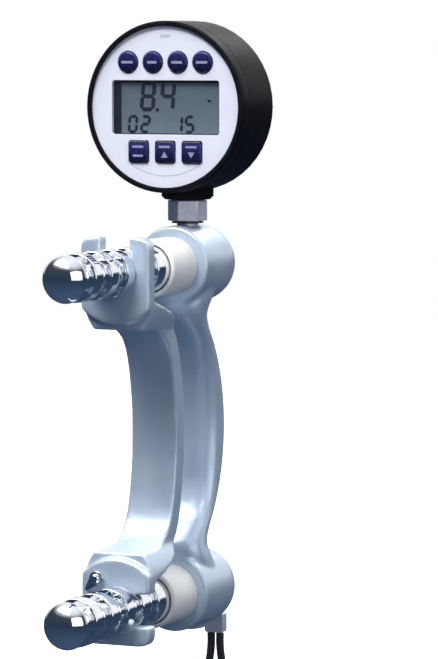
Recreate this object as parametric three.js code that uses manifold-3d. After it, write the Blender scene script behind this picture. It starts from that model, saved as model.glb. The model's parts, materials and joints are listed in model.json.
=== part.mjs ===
// Hydraulic hand dynamometer with a digital gauge. Millimetres.
// X is across the handles, -Y is the side of the gauge's face, and +Z is up.
// Y = 0 is the palm surface of the fixed handle, and Z = 0 is half way between the two posts.

import * as THREE from 'three';
import { mergeVertices } from 'three/addons/utils/BufferGeometryUtils.js';
import Module from 'manifold-3d';

const wasm = await Module();
wasm.setup();

// ---------------------------------------------------------------- driving dimensions

const GAP = 0.3;                  // between pieces that touch
const STEM_Y = -17;               // gauge stem, ahead of the palm surface
const POST_Z = 60;                // post axis, above and below the middle
const GROOVE_PITCH = 12.7;        // five grip positions, half an inch apart
const GROOVE_COUNT = 5;
const FORK_GROOVE = 2;            // the groove that the adjustable handle sits in

// The casting, in the instrument's own frame: Y = 0 on the gauge stem.
const HOUSING_R = 14.4;
const HOUSING_FRONT = -14;
const HOUSING_STRAIGHT_END = 7;
const HOUSING_BACK = 19.4;
const HOUSING_PAD_R = 4.6;          // flat pad round the screw at the back
const BORE_R = 9.3;
const BORE_END = 6;
const BUSH_SEAT_R = 10.2;
const BUSH_SEAT_END = -8.6;
const REAR_SCREW_R = 1.9;
const OIL_WAY_R = 1.6;
const STEM_BOSS_R = 6.4;
const STEM_BOSS_TOP = POST_Z + 14.7;

// The fixed handle's side view: [height above the middle, front, rear, half width].
const FIXED_HANDLE = [
  [0, 5, 17, 9],
  [12, 4, 15.6, 9],
  [22, 1.8, 12.2, 9],
  [31, -2.6, 7.4, 9],
  [37, -9, 3.2, 9.2],
  [42, -13.6, 0.6, 9.8],
  [47, -14, 2.5, 11],
  [53, -12, 7, 12],
];

const BUSH = { radius: 10.5, bore: 8.9, front: -34, edge: 2.2, spigotR: 9.9, spigotEnd: -8.9 };
const POST = {
  ringR: 8.6, grooveR: 5.4, grooveWidth: 6.6, groove1: -46.2,
  noseStart: -99.5, noseLength: 7, noseEnd: -100.7, back: -8.3,
};
const PISTON = { radius: 8.9, grooveR: 7.2, front: -8, back: -3, land: 1.4, sealOuter: 9, sealInner: 7.5 };

// The adjustable handle, seen from the side as [Y, Z] above the middle.
const FORK_Y = POST.groove1 - GROOVE_PITCH * (FORK_GROOVE - 1);
const PLATE_HALF = 2.9;
const PLATE_FRONT = FORK_Y - PLATE_HALF;
const PLATE_REAR = FORK_Y + PLATE_HALF;
const PLATE = {
  halfWidth: 13.4, tip: POST_Z + 12.5, slotHalf: 5.7, shoulder: 50, corner: 4.5, tipCorner: 4.5,
  frontR: 18.5, frontDepth: 2.6, rearEdge: 50, frontEdge: 43, frontRound: 3.5,
};
const NECK = { halfWidth: 9, height: 38.5, flare: 1.5, flareHeight: 41, sideHeight: 44 };
const HANDLE_REAR = [[-39, 44.6], [-30.8, 38], [-26.4, 30], [-23.2, 16], [-22, 0]];
const HANDLE_FRONT = [[-29, 0], [-30.2, 15], [-33.6, 28.6], [-38.4, 35.4], [-46, 39]];
const CLIP = {
  x: -6.8, z: -48.8, headR: 2.7, thickness: 1.4, noseX: -10.2, noseZ: -53.2, noseHalf: 0.9,
  pinR: 0.9, pinHeadR: 1.8, pinHeadHeight: 1.1, holeR: 1.2, holeDepth: 4,
};

// The gauge. Its face looks along -Y.
const GAUGE_Z = 117.7;
const GAUGE_FACE = -20.6;
const BEZEL = { radius: 31.1, opening: 29.2, seatR: 30.1, lip: 1, back: -14, edge: 1 };
const CASE = {
  front: -13.7, back: 7.8, radius: 31.1, innerR: 28.6, edge: 1, neckR: 9.6, neckBottom: 83.7, neckEdge: 1.2,
};
const PLATE_FACE = GAUGE_FACE + BEZEL.lip + GAP;
const FACE_PLATE = { radius: 29.8, thickness: 1.5 };
const DISPLAY = { halfWidth: 23.5, halfHeight: 10.5, thickness: 2.6 };
const WINDOW = { width: 42.8, height: 19.6, z: 117.5, thickness: 1 };
const ROUND_KEY = { radius: 3.9, z: 133.8, pitch: 9.9, count: 4 };
const SQUARE_KEY = { width: 7.7, height: 7.7, z: 101.4, pitch: 10.6, count: 3, corner: 1 };
const KEY = { proud: 0.8, clearance: 0.3, flange: 0.5, flangeThickness: 0.7, travel: 0.5 };
const BOARD = { radius: 27.6, front: -14.2, thickness: 1.6 };
const MAT_R = 27.4;
const TRAY = { radius: 27, halfWidth: 25.4, bottom: 109.4, top: 135 };
const CELL = { radius: 5.25, length: 44.5, z: [128, 116.4], y: -1.4 };
const COVER = { radius: 28.2, thickness: 2, screwRing: 24.6, seat: 0.8, count: 3 };
const COVER_SCREW = { radius: 1.2, headR: 2.2, headHeight: 0.9, length: 5.6, slotHalf: 0.4, slotDepth: 0.4 };
const COVER_BOSS = { half: 2.6, length: 9 };
const STEM = { flats: 12.6, hexBottom: 75.8, hexTop: 83.4, stubR: 3.9, holeR: 4.2, bottom: 71.3, top: 93.4 };
const HEX_TURN = THREE.MathUtils.degToRad(25);
const SENSOR = { radius: 4.2, bottom: 93.8, top: 105, tailR: 2.6, tail: 3 };
const WASHER = { radius: 5.9, thickness: 0.5 };

const BLEED_SCREW = { headR: 3.4, headHeight: 2.2, edge: 0.4, socketR: 1.5 };

// The wrist strap, on the back of the lower housing.
const EYE = { y: HOUSING_BACK + 5.6, ringR: 2.8, wireR: 0.9, footR: 3.4, footHeight: 1.9 };
const LINK = { ringR: 4.2, wireR: 0.6 };
const CRIMP = { halfWidth: 3.7, halfDepth: 2.1, top: -72.4, bottom: -80, tabTop: -67.8, tabHalf: 1.2, holeR: 1.2 };
const STRAP_DIAMETER = 3;
const STRAP_ROUTE = [            // [X, Z] below the crimp, down one side of the loop
  [-1.8, -80.3], [-1.9, -86], [-3.4, -95], [-6.2, -107], [-9.4, -121], [-12, -136],
  [-13, -150], [-12.2, -163], [-8.9, -174], [-4.6, -179.6], [0, -181.4],
];

// Sides on a round surface, by its size.
const SIDES = { gauge: 48, large: 32, medium: 24, small: 16, tiny: 10 };

// ---------------------------------------------------------------- materials

function finish(color, roughness, metalness) {
  return new THREE.MeshStandardMaterial({ color, roughness, metalness });
}

const PAINT = () => finish(0xa9bccb, 0.38, 0.55);
const CHROME = () => finish(0xd8dde4, 0.08, 1);
const STEEL = () => finish(0xa8a6b0, 0.32, 1);
const NYLON = () => finish(0xece8e2, 0.5, 0);
const BLACK_PLASTIC = () => finish(0x111216, 0.35, 0);
const RUBBER = () => finish(0x1b1b1d, 0.8, 0);
const WHITE_PLASTIC = () => finish(0xe8ecf4, 0.45, 0);
const KEY_PLASTIC = () => finish(0x16205a, 0.3, 0);
const CORD = () => finish(0x0c0c0e, 0.85, 0);

// ---------------------------------------------------------------- shapes and solids

// A closed geometry as a solid, with its faces turned out.
function solid(geometry) {
  const bare = geometry.clone();
  bare.deleteAttribute('normal');
  bare.deleteAttribute('uv');
  const welded = mergeVertices(bare, 1e-4);
  const position = welded.attributes.position;
  const corners = [0, 1, 2].map(() => new THREE.Vector3());
  const triangles = [];
  let volume = 0;
  for (let i = 0; i < welded.index.count; i += 3) {
    const ids = [0, 1, 2].map((k) => welded.index.getX(i + k));
    if (new Set(ids).size < 3) continue;
    ids.forEach((id, k) => corners[k].fromBufferAttribute(position, id));
    volume += corners[0].dot(corners[1].clone().cross(corners[2]));
    triangles.push(ids);
  }
  if (volume < 0) triangles.forEach((ids) => ids.reverse());
  return new wasm.Manifold(new wasm.Mesh({
    numProp: 3,
    vertProperties: new Float32Array(position.array),
    triVerts: new Uint32Array(triangles.flat()),
  }));
}

function piece(name, body, material) {
  const { vertProperties, triVerts } = body.getMesh();
  const geometry = new THREE.BufferGeometry();
  geometry.setAttribute('position', new THREE.BufferAttribute(new Float32Array(vertProperties), 3));
  geometry.setIndex(new THREE.BufferAttribute(new Uint32Array(triVerts), 1));
  geometry.computeVertexNormals();
  const mesh = new THREE.Mesh(geometry, material);
  mesh.name = name;
  return mesh;
}

// Turned about Y: the profile is [radius, Y] pairs, closed on the axis or on itself.
function turned(profile, segments = SIDES.medium) {
  return new THREE.LatheGeometry(profile.map(([r, y]) => new THREE.Vector2(r, y)), segments);
}

function ringProfile(inner, outer, low, high) {
  return [[inner, low], [outer, low], [outer, high], [inner, high], [inner, low]];
}

function rodProfile(radius, low, high) {
  return [[0, low], [radius, low], [radius, high], [0, high]];
}

// A rod along Y, X or Z, from low to high.
function rodY(radius, low, high, segments = SIDES.small) {
  return turned(rodProfile(radius, low, high), segments);
}

function rodX(radius, low, high, segments = SIDES.small) {
  return rodY(radius, -high, -low, segments).rotateZ(Math.PI / 2);
}

function rodZ(radius, low, high, segments = SIDES.small) {
  return rodY(radius, low, high, segments).rotateX(Math.PI / 2);
}

function box(low, high) {
  const size = high.map((v, i) => v - low[i]);
  const middle = high.map((v, i) => (v + low[i]) / 2);
  return new THREE.BoxGeometry(...size).translate(...middle);
}

// An outline in X and Z, as thick as front to back in Y.
function plateXZ(shape, front, back, curveSegments = 8) {
  const options = { depth: back - front, bevelEnabled: false, curveSegments };
  return new THREE.ExtrudeGeometry(shape, options).rotateX(Math.PI / 2).translate(0, back, 0);
}

// An outline in Y and Z, as wide as the half width on each side of X = 0.
function plateYZ(shape, halfWidth, curveSegments = 8) {
  const options = { depth: 2 * halfWidth, bevelEnabled: false, curveSegments };
  const turn = new THREE.Matrix4().makeBasis(
    new THREE.Vector3(0, 1, 0), new THREE.Vector3(0, 0, 1), new THREE.Vector3(1, 0, 0));
  return new THREE.ExtrudeGeometry(shape, options).applyMatrix4(turn).translate(-halfWidth, 0, 0);
}

function roundedRectangle(halfWidth, low, high, corner) {
  const shape = new THREE.Shape();
  shape.moveTo(-halfWidth + corner, low);
  shape.lineTo(halfWidth - corner, low);
  shape.absarc(halfWidth - corner, low + corner, corner, -Math.PI / 2, 0);
  shape.lineTo(halfWidth, high - corner);
  shape.absarc(halfWidth - corner, high - corner, corner, 0, Math.PI / 2);
  shape.lineTo(-halfWidth + corner, high);
  shape.absarc(-halfWidth + corner, high - corner, corner, Math.PI / 2, Math.PI);
  shape.lineTo(-halfWidth, low + corner);
  shape.absarc(-halfWidth + corner, low + corner, corner, Math.PI, 1.5 * Math.PI);
  return shape;
}

// A tube of a round section along a smooth curve, with closed ends.
function tube(curve, radius, sides, steps) {
  const section = new THREE.Shape();
  for (let i = 0; i < sides; i += 1) {
    const angle = (2 * Math.PI * i) / sides;
    const method = i === 0 ? 'moveTo' : 'lineTo';
    section[method](radius * Math.cos(angle), radius * Math.sin(angle));
  }
  section.closePath();
  return new THREE.ExtrudeGeometry(section, { steps, extrudePath: curve, bevelEnabled: false });
}

function torus(ringR, wireR) {
  return new THREE.TorusGeometry(ringR, wireR, 6, SIDES.small);
}

// A skin over a stack of closed sections that all have the same number of points.
function loft(sections) {
  const sides = sections[0].length;
  const middle = (points) => points.reduce((sum, p) => sum.add(p), new THREE.Vector3()).divideScalar(sides);
  const points = [...sections.flat(), middle(sections[0]), middle(sections[sections.length - 1])];
  const first = points.length - 2;
  const last = points.length - 1;
  const lastRow = (sections.length - 1) * sides;
  const index = [];
  for (let side = 0; side < sides; side += 1) {
    const next = (side + 1) % sides;
    for (let row = 0; row < lastRow; row += sides) {
      index.push(row + side, row + next, row + sides + next);
      index.push(row + side, row + sides + next, row + sides + side);
    }
    index.push(first, next, side);
    index.push(last, lastRow + side, lastRow + next);
  }
  const geometry = new THREE.BufferGeometry().setFromPoints(points);
  geometry.setIndex(index);
  return geometry;
}

// ---------------------------------------------------------------- the casting

// One row of FIXED_HANDLE's values at a height, eased between its neighbours.
function handleRow(height) {
  const h = Math.abs(height);
  const rows = FIXED_HANDLE;
  const i = Math.min(rows.findIndex((row) => row[0] >= h - 1e-9) || 1, rows.length - 1);
  const before = rows[Math.max(i - 2, 0)];
  const [a, b] = [rows[i - 1], rows[i]];
  const after = rows[Math.min(i + 1, rows.length - 1)];
  const t = (h - a[0]) / (b[0] - a[0]);
  return [1, 2, 3].map((k) => {
    const slopeA = i === 1 ? 0 : (b[k] - before[k]) / (b[0] - before[0]);
    const slopeB = (after[k] - a[k]) / (after[0] - a[0]);
    const span = b[0] - a[0];
    const smooth = t * t * (3 - 2 * t);
    const bend = t * (1 - t) * (1 - t) * span * slopeA - t * t * (1 - t) * span * slopeB;
    return a[k] + (b[k] - a[k]) * smooth + bend;
  });
}

function handleSection(height, sides = 16, squareness = 3.2) {
  const [front, rear, halfWidth] = handleRow(height);
  const round = (v) => Math.sign(v) * Math.abs(v) ** (2 / squareness);
  return Array.from({ length: sides }, (_, i) => {
    const angle = (2 * Math.PI * (i + 0.5)) / sides;
    const x = halfWidth * round(Math.cos(angle));
    const y = (front + rear) / 2 + ((rear - front) / 2) * round(Math.sin(angle));
    return new THREE.Vector3(x, y, height);
  });
}

function housing() {
  const edge = 0.8;
  const profile = [[0, HOUSING_FRONT], [HOUSING_R - edge, HOUSING_FRONT], [HOUSING_R, HOUSING_FRONT + edge]];
  const dome = HOUSING_BACK + 1.6 - HOUSING_STRAIGHT_END;
  const steps = 6;
  for (let i = 0; i <= steps; i += 1) {
    const angle = (Math.PI / 2) * (i / steps);
    const y = HOUSING_STRAIGHT_END + dome * Math.sin(angle);
    if (y < HOUSING_BACK) profile.push([HOUSING_R * Math.cos(angle) ** 0.8, y]);
  }
  profile.push([HOUSING_PAD_R, HOUSING_BACK], [0, HOUSING_BACK]);
  return turned(profile, SIDES.large);
}

function postBore() {
  return turned([
    [0, HOUSING_FRONT - 1], [BUSH_SEAT_R, HOUSING_FRONT - 1], [BUSH_SEAT_R, BUSH_SEAT_END],
    [BORE_R, BUSH_SEAT_END], [BORE_R, BORE_END], [REAR_SCREW_R + GAP, BORE_END],
    [REAR_SCREW_R + GAP, HOUSING_BACK + 1], [0, HOUSING_BACK + 1],
  ], SIDES.medium);
}

// The oil way runs down the middle of the fixed handle, between the two bores.
function oilWay() {
  const route = [[3, -53], [-5, -43], [-2, -34], [7, -18], [11, 0], [7, 18], [-2, 34], [-5, 43], [3, 53]];
  const curve = new THREE.CatmullRomCurve3(route.map(([y, z]) => new THREE.Vector3(0, y, z)));
  return tube(curve, OIL_WAY_R, 6, 16);
}

function bodyCasting() {
  const stack = [];
  const top = FIXED_HANDLE[FIXED_HANDLE.length - 1][0];
  const rows = 26;
  for (let i = 0; i <= rows; i += 1) stack.push(handleSection(-top + (2 * top * i) / rows));
  let body = solid(loft(stack));
  for (const z of [POST_Z, -POST_Z]) body = body.add(solid(housing().translate(0, 0, z)));
  body = body.add(solid(rodZ(STEM_BOSS_R, POST_Z + 8, STEM_BOSS_TOP, SIDES.medium)));
  for (const z of [POST_Z, -POST_Z]) body = body.subtract(solid(postBore().translate(0, 0, z)));
  body = body.subtract(solid(rodZ(STEM.holeR, STEM.bottom - GAP, STEM_BOSS_TOP + 1)));
  body = body.subtract(solid(rodZ(OIL_WAY_R, POST_Z + 2, STEM.bottom, SIDES.tiny)));
  body = body.subtract(solid(oilWay()));
  return piece('body_casting', body, PAINT());
}

// ---------------------------------------------------------------- posts and their guides

function bush(name) {
  const edge = [];
  for (let i = 0; i <= 4; i += 1) {
    const angle = (Math.PI / 2) * (i / 4);
    edge.push([
      BUSH.radius - BUSH.edge * (1 - Math.sin(angle)),
      BUSH.front + BUSH.edge * (1 - Math.cos(angle)),
    ]);
  }
  const shoulder = HOUSING_FRONT - GAP;
  const profile = [
    [BUSH.bore, BUSH.front], ...edge, [BUSH.radius, shoulder], [BUSH.spigotR, shoulder],
    [BUSH.spigotR, BUSH.spigotEnd], [BUSH.bore, BUSH.spigotEnd], [BUSH.bore, BUSH.front],
  ];
  return piece(name, solid(turned(profile, SIDES.large)), NYLON());
}

function grooveCentre(number) {
  return POST.groove1 - GROOVE_PITCH * (number - 1);
}

// The rounded nose is a quarter of an ellipse, cut short by the groove nearest the tip.
function noseAngle() {
  return Math.acos((POST.noseStart - POST.noseEnd) / POST.noseLength);
}

function post(name) {
  const profile = [[0, POST.noseStart - POST.noseLength]];
  const steps = 5;
  for (let i = 1; i <= steps; i += 1) {
    const y = POST.noseStart - POST.noseLength * Math.cos(noseAngle() * (i / steps));
    profile.push([POST.ringR * Math.sin(noseAngle() * (i / steps)), y]);
  }
  for (let number = GROOVE_COUNT; number >= 1; number -= 1) {
    const near = grooveCentre(number) - POST.grooveWidth / 2;
    const far = grooveCentre(number) + POST.grooveWidth / 2;
    if (number < GROOVE_COUNT) profile.push([POST.ringR, near]);
    profile.push([POST.grooveR, near], [POST.grooveR, far], [POST.ringR, far]);
  }
  profile.push([POST.ringR, POST.back], [0, POST.back]);
  return piece(name, solid(turned(profile, SIDES.medium)), CHROME());
}

function piston(name) {
  const grooveFront = PISTON.front + PISTON.land;
  const grooveBack = PISTON.back - PISTON.land;
  const profile = [
    [0, PISTON.front], [PISTON.radius, PISTON.front], [PISTON.radius, grooveFront],
    [PISTON.grooveR, grooveFront], [PISTON.grooveR, grooveBack], [PISTON.radius, grooveBack],
    [PISTON.radius, PISTON.back], [0, PISTON.back],
  ];
  return piece(name, solid(turned(profile)), STEEL());
}

function pistonSeal(name) {
  const low = PISTON.front + PISTON.land + GAP;
  const high = PISTON.back - PISTON.land - GAP;
  return piece(name, solid(turned(ringProfile(PISTON.sealInner, PISTON.sealOuter, low, high))), RUBBER());
}

function postGroup(side, z) {
  const group = new THREE.Group();
  group.add(post(`${side}_post`), piston(`${side}_piston`), pistonSeal(`${side}_piston_seal`));
  group.position.z = z;
  return group;
}

// ---------------------------------------------------------------- adjustable handle

// The side view: a plate at each end, and the bowed grip between them.
function handleSide() {
  const point = ([y, z], sign) => new THREE.Vector2(y, sign * z);
  const { tip, rearEdge, frontEdge, frontRound } = PLATE;
  const ledge = frontEdge - frontRound;
  const shape = new THREE.Shape();
  shape.moveTo(PLATE_FRONT, tip);
  shape.lineTo(PLATE_REAR, tip);
  shape.lineTo(PLATE_REAR, rearEdge);
  shape.splineThru([
    ...HANDLE_REAR.map((p) => point(p, 1)),
    ...HANDLE_REAR.slice(0, -1).reverse().map((p) => point(p, -1)),
    new THREE.Vector2(PLATE_REAR, -rearEdge),
  ]);
  shape.lineTo(PLATE_REAR, -tip);
  shape.lineTo(PLATE_FRONT, -tip);
  shape.lineTo(PLATE_FRONT, -frontEdge);
  shape.quadraticCurveTo(PLATE_FRONT, -ledge, PLATE_FRONT + frontRound, -ledge);
  shape.splineThru([
    ...HANDLE_FRONT.slice().reverse().map((p) => point(p, -1)),
    ...HANDLE_FRONT.slice(1).map((p) => point(p, 1)),
    new THREE.Vector2(PLATE_FRONT + frontRound, ledge),
  ]);
  shape.quadraticCurveTo(PLATE_FRONT, ledge, PLATE_FRONT, frontEdge);
  return shape;
}

// The front view, with its plates wider than the grip.
function handleOutline() {
  const w = PLATE.halfWidth;
  const { tip, shoulder, corner, tipCorner } = PLATE;
  const { halfWidth: g, height, flareHeight, sideHeight } = NECK;
  const flare = g + NECK.flare;
  const shape = new THREE.Shape();
  shape.moveTo(-w + tipCorner, tip);
  shape.lineTo(w - tipCorner, tip);
  shape.quadraticCurveTo(w, tip, w, tip - tipCorner);
  shape.lineTo(w, shoulder);
  shape.bezierCurveTo(w, sideHeight, flare, flareHeight, g, height);
  shape.lineTo(g, -height);
  shape.bezierCurveTo(flare, -flareHeight, w, -sideHeight, w, -shoulder);
  shape.lineTo(w, -tip + corner);
  shape.quadraticCurveTo(w, -tip, w - corner, -tip);
  shape.lineTo(-w + tipCorner, -tip);
  shape.quadraticCurveTo(-w, -tip, -w, -tip + tipCorner);
  shape.lineTo(-w, -shoulder);
  shape.bezierCurveTo(-w, -sideHeight, -flare, -flareHeight, -g, -height);
  shape.lineTo(-g, height);
  shape.bezierCurveTo(-flare, flareHeight, -w, sideHeight, -w, shoulder);
  shape.lineTo(-w, tip - tipCorner);
  shape.quadraticCurveTo(-w, tip, -w + tipCorner, tip);
  return shape;
}

// Takes the front of a plate back outside a circle round the post.
function frontCut(sign) {
  const inner = PLATE.halfWidth - 2;
  const depth = PLATE.frontDepth;
  const profile = ringProfile(PLATE.frontR, PLATE.frontR + 14, PLATE_FRONT - 1, PLATE_FRONT + depth);
  const ring = turned(profile, SIDES.gauge);
  const grip = box([-30, PLATE_FRONT - 2, -POST_Z + inner], [30, PLATE_FRONT + depth + 1, POST_Z - inner]);
  return solid(ring.translate(0, 0, sign * POST_Z)).intersect(solid(grip));
}

// The upper slot opens upwards, so the handle can drop off the upper post.
function upperSlot() {
  const shape = new THREE.Shape();
  shape.moveTo(PLATE.slotHalf, PLATE.tip + 1);
  shape.lineTo(-PLATE.slotHalf, PLATE.tip + 1);
  shape.lineTo(-PLATE.slotHalf, POST_Z);
  shape.absarc(0, POST_Z, PLATE.slotHalf, Math.PI, 2 * Math.PI);
  return shape;
}

// The lower slot opens sideways, along the arc that the handle swings on about the upper post.
function lowerSlot() {
  const reach = 2 * POST_Z;
  const mouth = -Math.PI / 2 + Math.asin((PLATE.halfWidth + 3) / reach);
  const shape = new THREE.Shape();
  shape.absarc(0, -POST_Z, PLATE.slotHalf, Math.PI / 2, 1.5 * Math.PI);
  shape.absarc(0, POST_Z, reach + PLATE.slotHalf, -Math.PI / 2, mouth);
  shape.absarc(0, POST_Z, reach - PLATE.slotHalf, mouth, -Math.PI / 2, true);
  return shape;
}

function adjustableHandle() {
  const before = PLATE_FRONT - 1;
  let body = solid(plateYZ(handleSide(), PLATE.halfWidth, 4));
  body = body.intersect(solid(plateXZ(handleOutline(), before, 0, 6)));
  for (const sign of [1, -1]) body = body.subtract(frontCut(sign));
  body = body.subtract(solid(plateXZ(upperSlot(), before, PLATE_REAR + 1)));
  body = body.subtract(solid(plateXZ(lowerSlot(), before, PLATE_REAR + 1)));
  const pinHole = rodY(CLIP.holeR, before, PLATE_FRONT + CLIP.holeDepth + GAP);
  body = body.subtract(solid(pinHole.translate(CLIP.x, 0, CLIP.z)));
  return piece('adjustable_handle', body, PAINT());
}

// A small sprung catch on the front of the lower plate, beside the post.
function handleClip() {
  const { x, z, headR, noseX, noseZ, noseHalf } = CLIP;
  const front = PLATE_FRONT - GAP - CLIP.thickness;
  const shape = new THREE.Shape();
  shape.absarc(x, z, headR, 0, Math.PI);
  shape.lineTo(noseX - noseHalf, noseZ + noseHalf);
  shape.quadraticCurveTo(noseX - noseHalf, noseZ, noseX, noseZ);
  shape.quadraticCurveTo(x, z - headR, x + headR, z);
  let body = solid(plateXZ(shape, front, front + CLIP.thickness, 8));
  body = body.subtract(solid(rodY(CLIP.holeR, front - 1, PLATE_FRONT).translate(x, 0, z)));
  return piece('handle_clip', body, STEEL());
}

function clipPin() {
  const { pinR, pinHeadR, pinHeadHeight } = CLIP;
  const face = PLATE_FRONT - 2 * GAP - CLIP.thickness;
  const top = face - pinHeadHeight;
  const end = PLATE_FRONT + CLIP.holeDepth;
  const profile = [
    [0, top], [pinHeadR - 0.6, top], [pinHeadR, top + 0.6], [pinHeadR, face], [pinR, face], [pinR, end], [0, end],
  ];
  return piece('clip_pin', solid(turned(profile, SIDES.tiny).translate(CLIP.x, 0, CLIP.z)), STEEL());
}

// ---------------------------------------------------------------- gauge

function gaugeStem() {
  const hex = new THREE.Shape();
  const radius = STEM.flats / Math.sqrt(3);
  for (let i = 0; i < 6; i += 1) {
    const angle = HEX_TURN + (Math.PI / 3) * i;
    const method = i === 0 ? 'moveTo' : 'lineTo';
    hex[method](radius * Math.cos(angle), radius * Math.sin(angle));
  }
  hex.closePath();
  const height = STEM.hexTop - STEM.hexBottom;
  const nut = new THREE.ExtrudeGeometry(hex, { depth: height, bevelEnabled: false });
  let body = solid(nut.translate(0, 0, STEM.hexBottom));
  body = body.add(solid(rodZ(STEM.stubR, STEM.bottom, STEM.top)));
  body = body.subtract(solid(rodZ(OIL_WAY_R, STEM.bottom - 1, STEM.top + 1, SIDES.tiny)));
  return piece('gauge_stem', body, STEEL());
}

function stemWasher() {
  const low = STEM_BOSS_TOP + GAP;
  const profile = ringProfile(STEM.holeR, WASHER.radius, low, low + WASHER.thickness);
  return piece('stem_washer', solid(turned(profile, SIDES.small).rotateX(Math.PI / 2)), RUBBER());
}

function screwPlaces() {
  return Array.from({ length: COVER.count }, (_, i) => {
    const angle = Math.PI / 2 + (2 * Math.PI * i) / COVER.count;
    return [COVER.screwRing * Math.cos(angle), COVER.screwRing * Math.sin(angle)];
  });
}

function gaugeCase() {
  const { innerR, radius, edge, front, back, neckR, neckBottom, neckEdge } = CASE;
  const wall = turned([
    [innerR, front], [radius, front], [radius, back - edge], [radius - 0.3 * edge, back - 0.3 * edge],
    [radius - edge, back], [innerR, back], [innerR, front],
  ], SIDES.gauge);
  const neckTop = GAUGE_Z - Math.sqrt(radius ** 2 - neckR ** 2) + 0.8;
  const neck = turned([
    [0, neckBottom], [neckR - neckEdge, neckBottom], [neckR, neckBottom + neckEdge],
    [neckR, neckTop], [0, neckTop],
  ]).rotateX(Math.PI / 2);
  const inside = rodY(innerR, front + 1, back - 1, SIDES.gauge).translate(0, 0, GAUGE_Z);
  let body = solid(wall).translate([0, 0, GAUGE_Z]).add(solid(neck).subtract(solid(inside)));
  const bossBack = back - COVER.thickness - GAP;
  const { half, length } = COVER_BOSS;
  for (const [x, z] of screwPlaces()) {
    const boss = box([-half, bossBack - length, -half], [half, bossBack, innerR - COVER.screwRing + 0.6]);
    boss.rotateY(-Math.atan2(z, x) + Math.PI / 2).translate(x, 0, GAUGE_Z + z);
    body = body.add(solid(boss));
  }
  for (const [x, z] of screwPlaces()) {
    const hole = rodY(COVER_SCREW.radius + GAP, bossBack - 6, bossBack + 1, SIDES.tiny);
    body = body.subtract(solid(hole.translate(x, 0, GAUGE_Z + z)));
  }
  body = body.subtract(solid(rodZ(STEM.holeR, neckBottom - 1, GAUGE_Z - innerR + 3)));
  return piece('gauge_case', body, BLACK_PLASTIC());
}

function gaugeBezel() {
  const profile = [
    [BEZEL.opening, GAUGE_FACE], [BEZEL.radius - BEZEL.edge, GAUGE_FACE],
    [BEZEL.radius - 0.3, GAUGE_FACE + 0.3], [BEZEL.radius, GAUGE_FACE + BEZEL.edge],
    [BEZEL.radius, BEZEL.back], [BEZEL.seatR, BEZEL.back], [BEZEL.seatR, GAUGE_FACE + BEZEL.lip],
    [BEZEL.opening, GAUGE_FACE + BEZEL.lip], [BEZEL.opening, GAUGE_FACE],
  ];
  return piece('gauge_bezel', solid(turned(profile, SIDES.gauge).translate(0, 0, GAUGE_Z)), BLACK_PLASTIC());
}

function roundKeyX(i) {
  return (i - (ROUND_KEY.count - 1) / 2) * ROUND_KEY.pitch;
}

function squareKeyX(i) {
  return (i - (SQUARE_KEY.count - 1) / 2) * SQUARE_KEY.pitch;
}

function squareKeyOutline(grow) {
  const half = SQUARE_KEY.width / 2 + grow;
  const low = SQUARE_KEY.z - SQUARE_KEY.height / 2 - grow;
  return roundedRectangle(half, low, low + SQUARE_KEY.height + 2 * grow, SQUARE_KEY.corner);
}

function windowOutline(grow) {
  const low = WINDOW.z - WINDOW.height / 2 - grow;
  return roundedRectangle(WINDOW.width / 2 + grow, low, low + WINDOW.height + 2 * grow, 1);
}

function facePlate() {
  const back = PLATE_FACE + FACE_PLATE.thickness;
  let body = solid(rodY(FACE_PLATE.radius, PLATE_FACE, back, SIDES.gauge).translate(0, 0, GAUGE_Z));
  body = body.subtract(solid(plateXZ(windowOutline(0), PLATE_FACE - 1, back + 1, 4)));
  for (let i = 0; i < ROUND_KEY.count; i += 1) {
    const hole = rodY(ROUND_KEY.radius + KEY.clearance, PLATE_FACE - 1, back + 1);
    body = body.subtract(solid(hole.translate(roundKeyX(i), 0, ROUND_KEY.z)));
  }
  for (let i = 0; i < SQUARE_KEY.count; i += 1) {
    const hole = plateXZ(squareKeyOutline(KEY.clearance), PLATE_FACE - 1, back + 1, 4);
    body = body.subtract(solid(hole.translate(squareKeyX(i), 0, 0)));
  }
  return piece('face_plate', body, WHITE_PLASTIC());
}

function displayWindow() {
  const front = PLATE_FACE + 0.1;
  const lens = plateXZ(windowOutline(-GAP), front, front + WINDOW.thickness, 4);
  const material = finish(0xc8d4dc, 0.05, 0);
  material.transparent = true;
  material.opacity = 0.35;
  return piece('display_window', solid(lens), material);
}

function displayModule() {
  const front = PLATE_FACE + FACE_PLATE.thickness + GAP;
  const { halfWidth, halfHeight, thickness } = DISPLAY;
  const low = [-halfWidth, front, WINDOW.z - halfHeight];
  const body = box(low, [halfWidth, front + thickness, WINDOW.z + halfHeight]);
  return piece('display_module', solid(body), finish(0xa9bac6, 0.4, 0));
}

// A key is a cap that passes through the face plate, with a flange behind the plate.
function keySolid(cap, flange) {
  return solid(cap).add(solid(flange));
}

function keyDepths() {
  const capFront = PLATE_FACE - KEY.proud;
  const flangeFront = PLATE_FACE + FACE_PLATE.thickness + GAP;
  return [capFront, flangeFront, flangeFront + KEY.flangeThickness];
}

function roundKey(i) {
  const [capFront, flangeFront, flangeBack] = keyDepths();
  const radius = ROUND_KEY.radius;
  const cap = turned([
    [0, capFront], [radius - 0.4, capFront], [radius, capFront + 0.4], [radius, flangeFront], [0, flangeFront],
  ], SIDES.small);
  const flange = rodY(radius + KEY.clearance + KEY.flange, flangeFront, flangeBack);
  const body = keySolid(cap, flange).translate([roundKeyX(i), 0, ROUND_KEY.z]);
  return piece(`round_key_${i + 1}`, body, KEY_PLASTIC());
}

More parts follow.
